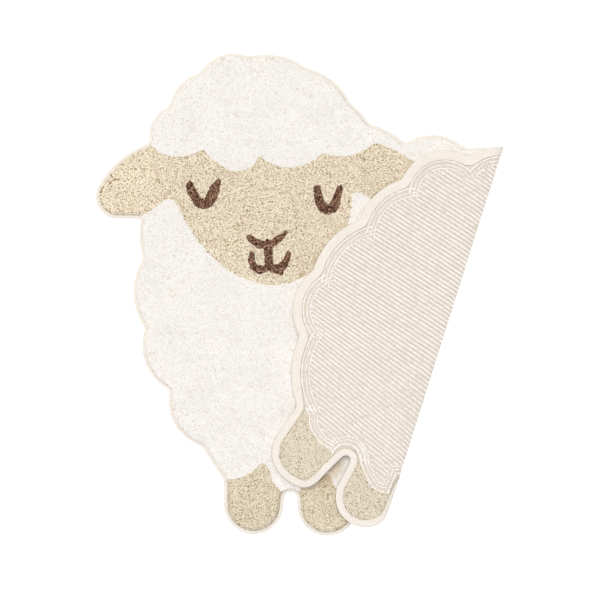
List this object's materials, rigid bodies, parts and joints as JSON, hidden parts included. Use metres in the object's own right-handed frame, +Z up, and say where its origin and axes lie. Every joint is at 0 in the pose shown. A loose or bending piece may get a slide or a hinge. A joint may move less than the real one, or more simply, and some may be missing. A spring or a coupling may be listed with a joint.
{
  "type": "animal shaped kids rug",
  "caption": "Child's tufted cotton rug cut as a sheep, bound with tape, lying flat with its right part folded back over the pile.",
  "frame": {"origin": "on the floor, under the middle of the rug's box as it lies folded", "axes": "+Z up from the floor, +Y towards the top of the sheep's head, +X to the right, towards the fold"},
  "size_m": [0.6112, 0.7226, 0.0256],
  "materials": {
    "cotton_pile": "cream cut pile, with beige and dark brown areas for the face, ears, feet and features",
    "cotton_tape": "ecru woven tape"
  },
  "bodies": {
    "root": {"tufted_rug": "cotton_pile", "edge_binding": "cotton_tape"}
  },
  "joints": []
}
